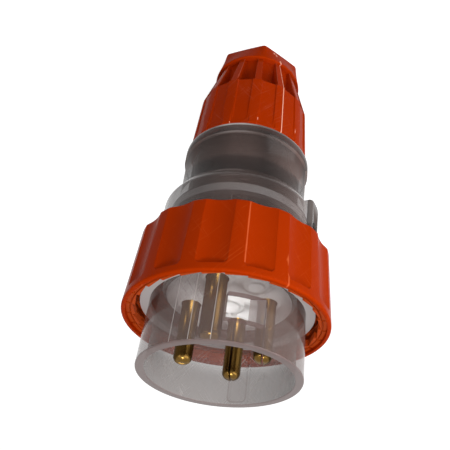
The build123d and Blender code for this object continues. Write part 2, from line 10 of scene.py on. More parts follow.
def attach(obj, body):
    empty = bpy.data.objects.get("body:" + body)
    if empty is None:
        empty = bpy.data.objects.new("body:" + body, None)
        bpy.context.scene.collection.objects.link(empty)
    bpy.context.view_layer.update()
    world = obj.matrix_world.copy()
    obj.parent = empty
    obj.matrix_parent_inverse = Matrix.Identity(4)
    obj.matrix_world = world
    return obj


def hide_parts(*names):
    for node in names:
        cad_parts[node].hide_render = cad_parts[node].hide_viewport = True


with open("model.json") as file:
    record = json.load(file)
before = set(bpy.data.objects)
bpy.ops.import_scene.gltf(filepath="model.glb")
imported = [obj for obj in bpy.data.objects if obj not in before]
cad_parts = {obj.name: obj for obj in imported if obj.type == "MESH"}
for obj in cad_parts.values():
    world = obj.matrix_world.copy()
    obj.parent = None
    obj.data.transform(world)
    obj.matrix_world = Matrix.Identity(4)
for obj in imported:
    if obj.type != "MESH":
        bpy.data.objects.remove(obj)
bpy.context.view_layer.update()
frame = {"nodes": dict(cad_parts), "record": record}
MM = 0.001
DEGREES = 57.29578
FLOAT, COLOUR = "NodeSocketFloat", "NodeSocketColor"

# Camera: it looks down at the plug, with the mouth towards the image's foot
LENS, SHIFT_X = 52.0, -60.0 / 450.0
CAMERA_PLACE = (-63.321, -216.542, 252.71)
CAMERA_RIGHT = (-0.986322, 0.151388, -0.065201)
CAMERA_UP = (-0.036096, -0.584335, -0.810709)

# Key on the shroud's outside, in mm: distance of its face from the axis, half its width, end and rounding
KEY_FACE, KEY_HALF, KEY_END, KEY_ROUND = 31.7, 3.7, 160.8, 1.85

# Films: the share of their hiding that holds for light, and what changes over a step in mm to a thick place
LIGHT_SHARE = 0.18
THICK_TINT, THICK_MORE, THICK_STEP = (0.085, 0.062, 0.054), 0.35, 0.3

# Meshes: angles beyond which an edge stays sharp, and tolerances for picking points of a grid
SHARP_CAD, SHARP_GRID = 32.0, 30.0
NEAR, TOUCH = 0.01, 1e-3


def place_camera():
    camera = bpy.data.cameras.new("photo_camera")
    camera.sensor_width = 36.0
    camera.lens = LENS
    camera.shift_x = SHIFT_X
    camera.clip_start = 0.01
    holder = bpy.data.objects.new("photo_camera", camera)
    right, up = Vector(CAMERA_RIGHT), Vector(CAMERA_UP)
    turn = Matrix((right, up, right.cross(up))).transposed().to_4x4()
    holder.matrix_world = Matrix.Translation(Vector(CAMERA_PLACE) * MM) @ turn
    bpy.context.scene.collection.objects.link(holder)
    bpy.context.scene.camera = holder


def area_light(name, place, aim, size, power):
    """A square soft box that faces a point."""
    lamp = bpy.data.lights.new(name, "AREA")
    lamp.shape = "SQUARE"
    lamp.size = size
    lamp.energy = power
    holder = bpy.data.objects.new(name, lamp)
    holder.location = place
    holder.rotation_euler = (Vector(aim) - Vector(place)).to_track_quat("-Z", "Y").to_euler()
    bpy.context.scene.collection.objects.link(holder)


# Small steps that the materials are made of
def join(tree, *pairs):
    for source, target in pairs:
        tree.links.new(source, target)


def calculate(tree, operation, *values, clamp=False):
    """A math node: each value is a number or an output socket."""
    made = tree.nodes.new("ShaderNodeMath")
    made.operation = operation
    made.use_clamp = clamp
    for place, value in enumerate(values):
        if isinstance(value, (int, float)):
            made.inputs[place].default_value = value
        else:
            tree.links.new(value, made.inputs[place])
    return made.outputs[0]


def remap(tree, value, low, high, to_low=0.0, to_high=1.0, curve="LINEAR"):
    """A value that goes from to_low to to_high, and no further, while the input goes from low to high."""
    made = tree.nodes.new("ShaderNodeMapRange")
    made.interpolation_type = curve
    for title, number in (("From Min", low), ("From Max", high), ("To Min", to_low), ("To Max", to_high)):
        made.inputs[title].default_value = number
    tree.links.new(value, made.inputs["Value"])
    return made.outputs["Result"]


def blend(tree, factor, first, second):
    """A colour that goes from the first to the second with the factor: each is a colour or an output."""
    made = tree.nodes.new("ShaderNodeMix")
    made.data_type = "RGBA"
    tree.links.new(factor, made.inputs["Factor"])
    for place, colour in ((6, first), (7, second)):
        if isinstance(colour, tuple):
            made.inputs[place].default_value = (*colour, 1)
        else:
            tree.links.new(colour, made.inputs[place])
    return made.outputs[2]


def ramp(tree, value, stops):
    """A grey value that follows stops (place, grey), evenly from each to the next."""
    low, high = stops[0][0], stops[-1][0]
    made = tree.nodes.new("ShaderNodeValToRGB")
    places = made.color_ramp.elements
    while len(places) < len(stops):
        places.new(0.5)
    for stop, (place, grey) in zip(places, stops):
        stop.position = (place - low) / (high - low)
        stop.color = (grey, grey, grey, 1)
    join(tree, (remap(tree, value, low, high), made.inputs["Fac"]))
    return made.outputs["Color"]


# Shared effects
def group_of(name, inputs, outputs):
    """An empty node group with float or colour sockets made from (name, kind, default)."""
    group = bpy.data.node_groups.new(name, "ShaderNodeTree")
    for title, kind, value in inputs:
        socket = group.interface.new_socket(title, in_out="INPUT", socket_type=kind)
        socket.default_value = value
    for title, kind in outputs:
        group.interface.new_socket(title, in_out="OUTPUT", socket_type=kind)
    start = group.nodes.new("NodeGroupInput")
    end = group.nodes.new("NodeGroupOutput")
    return group, start, end


def axis_places(tree):
    """Object coordinates by axis."""
    place = tree.nodes.new("ShaderNodeTexCoord")
    parts = tree.nodes.new("ShaderNodeSeparateXYZ")
    join(tree, (place.outputs["Object"], parts.inputs["Vector"]))
    return parts.outputs


def angle_round(tree, axes):
    """The angle round the plug's axis, in radians."""
    return calculate(tree, "ARCTAN2", axes["Y"], axes["X"])


def scratch_group():
    """Patches of straight scratches on a wall round the axis: contour lines of two stretched noises."""
    group, start, end = group_of(
        "wall_scratches",
        [("Scale", FLOAT, 900.0), ("Width", FLOAT, 0.02), ("Amount", FLOAT, 1.0), ("Radius", FLOAT, 0.0275)],
        [("Mask", FLOAT)])
    axes = axis_places(group)
    flat = group.nodes.new("ShaderNodeCombineXYZ")
    around = calculate(group, "MULTIPLY", angle_round(group, axes), start.outputs["Radius"])
    join(group, (around, flat.inputs["X"]), (axes["Z"], flat.inputs["Y"]))
    total = None
    for turn, stretch in ((0.66, 40.0), (-0.74, 34.0)):
        spin = group.nodes.new("ShaderNodeMapping")
        spin.vector_type = "TEXTURE"
        spin.inputs["Rotation"].default_value = (0.0, 0.0, turn)
        spin.inputs["Scale"].default_value = (1.0, stretch, 1.0)
        noise = group.nodes.new("ShaderNodeTexNoise")
        noise.noise_dimensions = "2D"
        noise.inputs["Detail"].default_value = 1.0
        join(group, (flat.outputs["Vector"], spin.inputs["Vector"]),
             (spin.outputs["Vector"], noise.inputs["Vector"]),
             (start.outputs["Scale"], noise.inputs["Scale"]))
        away = calculate(group, "ABSOLUTE", calculate(group, "SUBTRACT", noise.outputs["Fac"], 0.5))
        near = calculate(group, "LESS_THAN", away, start.outputs["Width"])
        total = near if total is None else calculate(group, "MAXIMUM", total, near)
    place = group.nodes.new("ShaderNodeTexCoord")
    patches = group.nodes.new("ShaderNodeTexNoise")
    patches.inputs["Scale"].default_value = 110.0
    join(group, (place.outputs["Object"], patches.inputs["Vector"]))
    spread = remap(group, patches.outputs["Fac"], 0.38, 0.65)
    patched = calculate(group, "MULTIPLY", total, spread)
    masked = calculate(group, "MULTIPLY", patched, start.outputs["Amount"])
    join(group, (masked, end.inputs["Mask"]))
    return group


def flow_line_group():
    """Three thin straight lines down a wall round the axis, at given angles in degrees."""
    group, start, end = group_of(
        "moulding_lines",
        [("First", FLOAT, 262.3), ("Second", FLOAT, 276.8), ("Third", FLOAT, 290.2), ("Width", FLOAT, 0.28)],
        [("Mask", FLOAT)])
    degrees = calculate(group, "MULTIPLY", angle_round(group, axis_places(group)), DEGREES)
    total = None
    for name in ("First", "Second", "Third"):
        line = calculate(group, "SUBTRACT", start.outputs[name], 360.0)
        apart = calculate(group, "SUBTRACT", degrees, line)
        near = calculate(group, "LESS_THAN", calculate(group, "ABSOLUTE", apart), start.outputs["Width"])
        total = near if total is None else calculate(group, "MAXIMUM", total, near)
    join(group, (total, end.inputs["Mask"]))
    return group


def rib_outline_group():
    """Outline and inside of the key seen through the +Y wall, by the distance to a rounded box in x and z."""
    group, start, end = group_of(
        "rib_outline",
        [("Half width", FLOAT, KEY_HALF * MM), ("End", FLOAT, KEY_END * MM),
         ("Rounding", FLOAT, KEY_ROUND * MM), ("Line", FLOAT, 0.0005)],
        [("Mask", FLOAT), ("Inside", FLOAT)])
    axes = axis_places(group)
    rounding = start.outputs["Rounding"]
    aside = calculate(group, "SUBTRACT", calculate(group, "ABSOLUTE", axes["X"]), start.outputs["Half width"])
    across = calculate(group, "ADD", aside, rounding)
    along = calculate(group, "ADD", calculate(group, "SUBTRACT", axes["Z"], start.outputs["End"]), rounding)
    over = [calculate(group, "MAXIMUM", part, 0.0) for part in (across, along)]
    squares = [calculate(group, "POWER", part, 2.0) for part in over]
    outer = calculate(group, "SQRT", calculate(group, "ADD", *squares))
    inner = calculate(group, "MINIMUM", calculate(group, "MAXIMUM", across, along), 0.0)
    distance = calculate(group, "SUBTRACT", calculate(group, "ADD", outer, inner), rounding)
    back = calculate(group, "GREATER_THAN", axes["Y"], 0.0)
    off_line = calculate(group, "DIVIDE", calculate(group, "ABSOLUTE", distance), start.outputs["Line"])
    near = calculate(group, "SUBTRACT", 1.0, off_line, clamp=True)
    within = calculate(group, "LESS_THAN", distance, 0.0)
    join(group, (calculate(group, "MULTIPLY", near, back), end.inputs["Mask"]),
         (calculate(group, "MULTIPLY", within, back), end.inputs["Inside"]))
    return group


def mottle_group():
    """Uneven tone of a moulding: a slow noise that moves between two colours, and a fine grain for bump."""
    group, start, end = group_of(
        "moulded_mottle",
        [("Colour A", COLOUR, (1, 1, 1, 1)), ("Colour B", COLOUR, (1, 1, 1, 1)), ("Scale", FLOAT, 60.0),
         ("Grain", FLOAT, 2500.0)],
        [("Color", COLOUR), ("Height", FLOAT), ("Slow", FLOAT)])
    place = group.nodes.new("ShaderNodeTexCoord")
    slow = group.nodes.new("ShaderNodeTexNoise")
    slow.inputs["Detail"].default_value = 3.0
    fine = group.nodes.new("ShaderNodeTexNoise")
    fine.inputs["Detail"].default_value = 2.0
    join(group, (place.outputs["Object"], slow.inputs["Vector"]),
         (place.outputs["Object"], fine.inputs["Vector"]), (start.outputs["Scale"], slow.inputs["Scale"]),
         (start.outputs["Grain"], fine.inputs["Scale"]))
    tone = blend(group, slow.outputs["Fac"], start.outputs["Colour A"], start.outputs["Colour B"])
    join(group, (tone, end.inputs["Color"]), (fine.outputs["Fac"], end.inputs["Height"]),
         (slow.outputs["Fac"], end.inputs["Slow"]))
    return group


SCRATCHES = scratch_group()
MOTTLE = mottle_group()
FLOW_LINES = flow_line_group()
RIB_OUTLINE = rib_outline_group()


def placed_group(tree, group, **values):
    made = tree.nodes.new("ShaderNodeGroup")
    made.node_tree = group
    for key, value in values.items():
        made.inputs[key.replace("_", " ")].default_value = value
    return made


def new_material(name):
    made = bpy.data.materials.new(name)
    made.use_nodes = True
    return made, made.node_tree, made.node_tree.nodes["Principled BSDF"]


def moulded(name, dark, light, roughness, scratch_and_sheen_tint=None, scratch=0.0, bump=0.05, scale=60.0, specular=0.5,
            radius=0.04, edge=0.0):
    """Opaque moulding: mottled colour, fine scratches and a painted highlight on sharp edges that lighten it,
    and a faint grain.
    """
    made, tree, shader = new_material(name)
    mottle = placed_group(tree, MOTTLE, Colour_A=(*dark, 1), Colour_B=(*light, 1), Scale=scale)
    marks = placed_group(tree, SCRATCHES, Scale=700.0, Width=0.008, Amount=scratch, Radius=radius)
    scratches_and_sheen = marks.outputs["Mask"]
    # Painted highlight: sharp convex edges, found by Pointiness, are lightened towards the scratch tint like
    # the scratches
    if edge > 0.0:
        shape = tree.nodes.new("ShaderNodeNewGeometry")
        ridge = remap(tree, shape.outputs["Pointiness"], 0.54, 0.64, to_high=edge)
        scratches_and_sheen = calculate(tree, "MAXIMUM", scratches_and_sheen, ridge)
    shade = blend(tree, scratches_and_sheen, mottle.outputs["Color"], scratch_and_sheen_tint or light)
    uneven = remap(tree, mottle.outputs["Slow"], 0.0, 1.0, roughness * 0.8, roughness * 1.3)
    grain = tree.nodes.new("ShaderNodeBump")
    grain.inputs["Strength"].default_value = bump
    grain.inputs["Distance"].default_value = 0.0001
    join(tree, (shade, shader.inputs["Base Color"]), (uneven, shader.inputs["Roughness"]),
         (mottle.outputs["Height"], grain.inputs["Height"]),
         (grain.outputs["Normal"], shader.inputs["Normal"]))
    shader.inputs["Specular IOR Level"].default_value = specular
    return made


def metal_material(name, dark, light, roughness):
    """Turned metal: mottled colour with fine scratches and a little unevenness in its shine."""
    made = moulded(name, dark, light, roughness, scratch_and_sheen_tint=light, scratch=0.5, bump=0.15, scale=150.0)
    made.node_tree.nodes["Principled BSDF"].inputs["Metallic"].default_value = 1.0
    return made


def clear_material(name, tint, front, back, slanted=0.1, roughness=0.12, specular=0.5,
                   haze_and_sheen=(0.75, 0.72, 0.70), under=None, marks=None, over=None, dull=None, thick=None):
    """Smoky clear film that hides a share of what lies behind it: front, or back on faces turned away.

    It hides more at a slant, under a pale mark and, with dull = (low, high, more), between two heights. With
    thick, it is darker and hides more past that many mm from the plug's axis. Under and over are functions
    that change its colour below and above its marks. Only what is seen or mirrored gets the full film: other
    light passes more easily, so that the pieces inside stay lit."""
    made, tree, shader = new_material(name)
    axes = axis_places(tree)
    side = tree.nodes.new("ShaderNodeNewGeometry")
    towards = calculate(tree, "SUBTRACT", 1.0, side.outputs["Backfacing"])
    slant = tree.nodes.new("ShaderNodeLayerWeight")
    slant.inputs["Blend"].default_value = 0.35
    hidden = calculate(tree, "MULTIPLY_ADD", towards, front - back, back)
    hidden = calculate(tree, "MULTIPLY_ADD", slant.outputs["Facing"], slanted, hidden)
    lighter = [part * 1.12 for part in tint]
    mottle = placed_group(tree, MOTTLE, Colour_A=(*tint, 1), Colour_B=(*lighter, 1), Scale=80.0)
    shade = mottle.outputs["Color"]
    if under is not None:
        shade = under(tree, shade)
    if marks is not None:
        # Pale marks: scratches and lines on the shroud, painted highlights on the rear body
        pale = marks(tree)
        hidden = calculate(tree, "MULTIPLY_ADD", pale, 0.5, hidden)
        shade = blend(tree, pale, shade, haze_and_sheen)
    if over is not None:
        shade = over(tree, shade)
    if dull is not None:
        low, high, more = dull
        climb = remap(tree, axes["Z"], low * MM, high * MM, to_high=more, curve="SMOOTHSTEP")
        hidden = calculate(tree, "MULTIPLY_ADD", towards, climb, hidden)
    if thick is not None:
        squares = [calculate(tree, "POWER", axes[name], 2.0) for name in "XY"]
        reach = calculate(tree, "SQRT", calculate(tree, "ADD", *squares))
        over_limit = calculate(tree, "SUBTRACT", reach, thick * MM)
        past = calculate(tree, "DIVIDE", over_limit, THICK_STEP * MM, clamp=True)
        shade = blend(tree, past, shade, THICK_TINT)
        hidden = calculate(tree, "MULTIPLY_ADD", past, THICK_MORE, hidden)
    path = tree.nodes.new("ShaderNodeLightPath")
    seen = calculate(tree, "MAXIMUM", path.outputs["Is Camera Ray"], path.outputs["Is Glossy Ray"])
    film = calculate(tree, "MULTIPLY_ADD", seen, 1.0 - LIGHT_SHARE, LIGHT_SHARE)
    hidden = calculate(tree, "MULTIPLY", hidden, film, clamp=True)
    join(tree, (shade, shader.inputs["Base Color"]), (hidden, shader.inputs["Alpha"]))
    shader.inputs["Roughness"].default_value = roughness
    shader.inputs["Specular IOR Level"].default_value = specular
    return made


# Rear body: painted shade and reflections in its tone, and painted highlights on its edges, by height in mm
# and by angle in degrees
BARREL_SHADE_LEVELS = [(60.0, 0.9), (61.5, 0.45), (64.8, 0.34), (65.2, 0.75), (65.7, 0.75), (66.2, 0.42),
                 (70.0, 0.5), (77.0, 0.72), (79.0, 0.34), (85.6, 0.30), (86.2, 0.9), (87.0, 0.5),
                 (90.0, 0.8), (117.0, 0.8)]
BARREL_REFLECTION_STRIPS = [(-180.0, 0.3), (-165.0, 0.8), (-150.0, 0.75), (-139.0, 0.55), (-122.0, 0.28), (-108.0, 0.5),
                 (-92.0, 0.58), (-80.0, 0.42), (-60.0, 0.42), (-35.0, 0.6), (-15.0, 0.95), (0.0, 0.9)]
EDGE_HIGHLIGHT_LEVELS = [(60.0, 0.4), (61.5, 0.6), (61.9, 0.0), (65.1, 0.0), (65.4, 0.18), (65.8, 0.0),
               (85.7, 0.0), (86.1, 0.5), (86.6, 0.0), (88.6, 0.0), (88.9, 0.25), (89.3, 0.0), (92.0, 0.0)]
EDGE_HIGHLIGHT_STRIPS = [(-180.0, 0.1), (-140.0, 0.1), (-112.0, 0.25), (-98.0, 1.0), (-84.0, 1.0), (-72.0, 0.3),
               (-40.0, 0.1), (0.0, 0.1)]


def up_and_round(tree, levels, strips):
    """Two grey values: one that follows the height and one that follows the angle round the plug."""
    axes = axis_places(tree)
    degrees = calculate(tree, "MULTIPLY", angle_round(tree, axes), DEGREES)
    stops = [(height * MM, grey) for height, grey in levels]
    return ramp(tree, axes["Z"], stops), ramp(tree, degrees, strips)


def barrel_painted_shade(tree, shade):
    """Painted shade and reflections on the rear body: scales its colour by height and by angle; the levels
    and strips are each a share of twice its tint.
    """
    level, strip = up_and_round(tree, BARREL_SHADE_LEVELS, BARREL_REFLECTION_STRIPS)
    uneven = tree.nodes.new("ShaderNodeVectorMath")
    uneven.operation = "SCALE"
    share = calculate(tree, "MULTIPLY", level, calculate(tree, "MULTIPLY", strip, 4.0))
    join(tree, (shade, uneven.inputs[0]), (share, uneven.inputs["Scale"]))
    return uneven.outputs[0]


def painted_edge_highlights(tree):
    """Painted highlights along the rear body's bead and shoulder, strongest on the -Y side."""
    return calculate(tree, "MULTIPLY", *up_and_round(tree, EDGE_HIGHLIGHT_LEVELS, EDGE_HIGHLIGHT_STRIPS))


def crossed_scratches(tree):
    """Fine scratches on the wall of the mouth."""
    return placed_group(tree, SCRATCHES, Scale=900.0, Width=0.010, Amount=0.55, Radius=0.0275).outputs["Mask"]


def moulding_lines(tree):
    """Faint lines down the shroud's outside."""
    return calculate(tree, "MULTIPLY", placed_group(tree, FLOW_LINES).outputs["Mask"], 0.5)


def key_shadow(tree, shade):
    """Darkens the place of the key behind the wall a little, and its outline more."""
    outline = placed_group(tree, RIB_OUTLINE)
    inside = calculate(tree, "MULTIPLY", outline.outputs["Inside"], 0.25)
    strength = calculate(tree, "MULTIPLY_ADD", outline.outputs["Mask"], 0.9, inside)
    return blend(tree, strength, shade, (0.13, 0.095, 0.085))


MATERIALS = {
    # The rear body's film carries painted shade and reflections in its colour, and painted highlights as its
    # pale marks
    "clear_housing": clear_material("clear_rear_housing", (0.050, 0.033, 0.029), 0.50, 0.24, slanted=0.42,
                                    roughness=0.2, specular=0.18, under=barrel_painted_shade, marks=painted_edge_highlights,
                                    dull=(90.0, 68.0, 0.32), thick=32.0),
    "white_moulding": moulded("white_moulding", (0.80, 0.77, 0.76), (0.86, 0.84, 0.83), 0.45, specular=0.3),
    "dark_moulding": moulded("dark_moulding", (0.020, 0.016, 0.015), (0.04, 0.034, 0.032), 0.5, specular=0.3),
    # The ring and nut lighten their sharp edges in a pale tint as a painted highlight
    "orange_ring": moulded("orange_ring_moulding", (0.34, 0.024, 0.0001), (0.38, 0.028, 0.0002), 0.22,
                           scratch_and_sheen_tint=(0.75, 0.16, 0.05), scratch=0.12, specular=0.008, edge=0.5),
    "orange_nut": moulded("orange_nut_moulding", (0.335, 0.023, 0.0001), (0.38, 0.028, 0.0002), 0.18,
                          scratch_and_sheen_tint=(0.90, 0.45, 0.32), scratch=0.05, specular=0.004, radius=0.026,
                          edge=0.8),
    # A lighter copy of the ring's orange for its bore and teeth: painted light on the inside, where less
    # light reaches
    "ring_inside_painted_light": moulded("orange_ring_inside", (0.40, 0.048, 0.005), (0.45, 0.060, 0.009), 0.3,
                           specular=0.015),
    "brass": metal_material("turned_brass", (0.13, 0.072, 0.016), (0.18, 0.102, 0.026), 0.24),
    # The gasket is a grey copy of the white moulding, darkened as painted shade
    "gasket": moulded("gasket_painted_shade", (0.40, 0.365, 0.36), (0.46, 0.425, 0.42), 0.5, specular=0.2),
    # Steel nearly black: painted shade for the screws that sit inside the dark housing
    "steel": metal_material("plated_steel_painted_shade", (0.030, 0.027, 0.025), (0.05, 0.046, 0.043), 0.7),
    "rubber": moulded("black_rubber", (0.012, 0.012, 0.012), (0.022, 0.022, 0.022), 0.7, specular=0.3),
    "slip_plastic": moulded("pale_washer", (0.60, 0.59, 0.56), (0.70, 0.69, 0.66), 0.4),
}
SLOT_OF = {part["node"]: part["material_slot"] for part in frame["record"]["subparts"]}
BODY_OF = {name: body for body, names in frame["record"]["behaviour"]["bodies"].items() for name in names}


def smooth_copy(name):
    """A CAD node's own shape with its doubles merged and its curves shaded smooth."""
    source = frame["nodes"][name]
    mesh = source.data.copy()
    piece = bpy.data.objects.new(name + "_finish", mesh)
    bpy.context.scene.collection.objects.link(piece)
    shape = bmesh.new()
    shape.from_mesh(mesh)
    bmesh.ops.remove_doubles(shape, verts=shape.verts, dist=2e-6)
    shape.to_mesh(mesh)
    shape.free()
    mesh.polygons.foreach_set("use_smooth", [True] * len(mesh.polygons))
    mesh.set_sharp_from_angle(angle=np.radians(SHARP_CAD))
    return piece


def dress(piece, *names, finishes=None):
    """Gives a new piece the body, material slot and material of the CAD nodes that it stands for."""
    if len(piece.data.materials) == 0:
        for finish in finishes or [MATERIALS[SLOT_OF[names[0]]]]:
            piece.data.materials.append(finish)
    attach(piece, BODY_OF[names[0]])
    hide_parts(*names)
    return piece


# Shapes worked out on a grid: a closed profile round the plug's axis, whose radius may change with the angle
def soft_corner(before, corner, after, radius, steps=5):
    """Points of an arc that rounds a corner of a profile, between its two straight neighbours."""
    a = (before - corner) / np.linalg.norm(before - corner)
    b = (after - corner) / np.linalg.norm(after - corner)
    half = np.arccos(np.clip(a @ b, -1, 1)) / 2
    centre = corner + (a + b) / np.linalg.norm(a + b) * radius / np.sin(half)
    start = corner + a * radius / np.tan(half) - centre
    end = corner + b * radius / np.tan(half) - centre
    share = np.linspace(0, 1, steps)[:, None]
    turn = np.arccos(np.clip(start @ end / radius**2, -1, 1))
    return centre + (np.sin((1 - share) * turn) * start + np.sin(share * turn) * end) / np.sin(turn)


def closed_profile(corners, spacing):
    """A closed chain of (radius, height) points from corners (radius, height, rounding).

    A corner may have a fourth number, the spacing of points from there to the next corner."""
    places = np.array([corner[:2] for corner in corners], float)
    chain = []
    for k, corner in enumerate(corners):
        if corner[2] > 0:
            chain.append(soft_corner(places[k - 1], places[k], places[(k + 1) % len(places)], corner[2]))
        else:
            chain.append(places[k][None])
    points = []
    for k, part in enumerate(chain):
        points.append(part)
        gap = chain[(k + 1) % len(chain)][0] - part[-1]
        step = corners[k][3] if len(corners[k]) > 3 else spacing
        cuts = int(np.linalg.norm(gap) / step)
        if cuts > 0:
            points.append(part[-1] + gap * (np.arange(1, cuts + 1) / (cuts + 1))[:, None])
    return np.vstack(points)


def softly_lower(a, b, width):
    """The lower of two values, with the corner where they cross rounded over a width."""
    return -width * np.logaddexp(-a / width, -b / width)


def lathe_surface(name, angles, radius, height, keep=None, extra=None, parts=None, extra_part=0):
    """A closed tube of quads from radius and height arrays over (angle, profile).

    x = radius * cos(angle), y = radius * sin(angle), z = height. Keep masks the quads that stay, parts gives
    each profile run its material, and extra adds quads by vertex index, with the material extra_part."""
    rows, columns = radius.shape
    turn = np.radians(angles if np.ndim(angles) == 2 else angles[:, None])
    places = np.stack([radius * np.cos(turn), radius * np.sin(turn), height], axis=-1).reshape(-1, 3) * MM
    i, j = np.meshgrid(np.arange(rows), np.arange(columns), indexing="ij")
    here, beside, next_j = i * columns, (i + 1) % rows * columns, (j + 1) % columns
    quads = np.stack([here + j, beside + j, beside + next_j, here + next_j], axis=-1)
    finish = np.broadcast_to(np.zeros(columns, int) if parts is None else parts, (rows, columns))
    finish = finish[keep] if keep is not None else finish.ravel()
    quads = quads[keep] if keep is not None else quads.reshape(-1, 4)
    mesh = bpy.data.meshes.new(name)
    mesh.from_pydata(places, [], quads if extra is None else np.vstack([quads, extra]))
    mesh.polygons.foreach_set("use_smooth", np.ones(len(mesh.polygons), bool))
    if extra is not None:
        finish = np.concatenate([finish, np.full(len(extra), extra_part)])
    mesh.polygons.foreach_set("material_index", finish.astype(np.int32))
    shape = bmesh.new()
    shape.from_mesh(mesh)
    bmesh.ops.recalc_face_normals(shape, faces=shape.faces)
    shape.to_mesh(mesh)
    shape.free()
    mesh.set_sharp_from_angle(angle=np.radians(SHARP_GRID))
    piece = bpy.data.objects.new(name, mesh)
    bpy.context.scene.collection.objects.link(piece)
    return piece


def wrapped(angle, centre, period):
    """Angle measured from the nearest of the evenly spaced centres, in degrees."""
    return (angle - centre + period / 2) % period - period / 2


def rounded_box_gap(across, along, half_width, low, high, rounding):
    """How far a point lies outside a rounded rectangle: zero inside, growing in all directions outside."""
    middle, half_height = (low + high) / 2, (high - low) / 2
    x = np.abs(across) - half_width + rounding
    y = np.abs(along - middle) - half_height + rounding
    reach = np.hypot(np.maximum(x, 0), np.maximum(y, 0)) + np.minimum(np.maximum(x, y), 0)
    return np.maximum(reach - rounding, 0)


def fluted_angles(count, centre, dense_from, dense_to, dense, flat, extra):
    """Angles for a ring of flutes: few lines on floors and lands, many on the slopes, and the extra ones."""
    period = 360 / count
    one = np.concatenate([
        np.linspace(-period / 2, -dense_to, flat, endpoint=False), np.linspace(-dense_to, -dense_from, dense),
        np.linspace(-dense_from, dense_from, 2 * flat)[1:-1], np.linspace(dense_from, dense_to, dense),
        np.linspace(dense_to, period / 2, flat + 1)[1:-1]])
    lines = (centre + np.arange(count)[:, None] * period + one[None, :]).ravel() % 360
    return np.unique(np.round(np.concatenate([lines, extra % 360]), 4))


# Locking ring, in mm and degrees: cone, bore, mouth, skirt, teeth, flutes, notches by the teeth, and thread
RING_LOW, RING_HIGH = 109.3, 140.9
RING_REAR, RING_MOUTH = 38.3, 40.1
RING_BORE, TOOTH_WALL, TOOTH_TIP = 36.2, 36.0, 35.0
FRONT_BORE, TOOTH_TOP, TOOTH_LOW = 38.4, 139.5, 136.9
SKIRT_HOLE, SKIRT_TOP = 32.3, 112.5
TEETH, TOOTH_START = 28, 258.1
FLUTES, FLUTE_START, FLUTE_ROUND = 15, 265.3, 1.45
FLUTE_DEPTH, FLUTE_HALF, FLUTE_END, FLUTE_SCOOP = 1.4, 5.1, 137.2, 17.5
FLANK_SLOPE, FLANK_SOFT = 2.14, 0.05
NOTCH_SIDES, NOTCH_DEPTH, NOTCH_IN, NOTCH_OUT = (0.80, 0.82, 0.97, 0.99), 1.3, 36.9, 38.35
LINE_RADIUS, LINE_DEPTH = 36.7, 0.7
THREAD_PITCH, THREAD_DEPTH = 3.6, 0.75


def ring_cone(z):
    """Radius of the ring's outside without flutes, which goes evenly from its rear edge to its mouth."""
    return RING_REAR + (RING_MOUTH - RING_REAR) * (z - RING_LOW) / (RING_HIGH - RING_LOW)


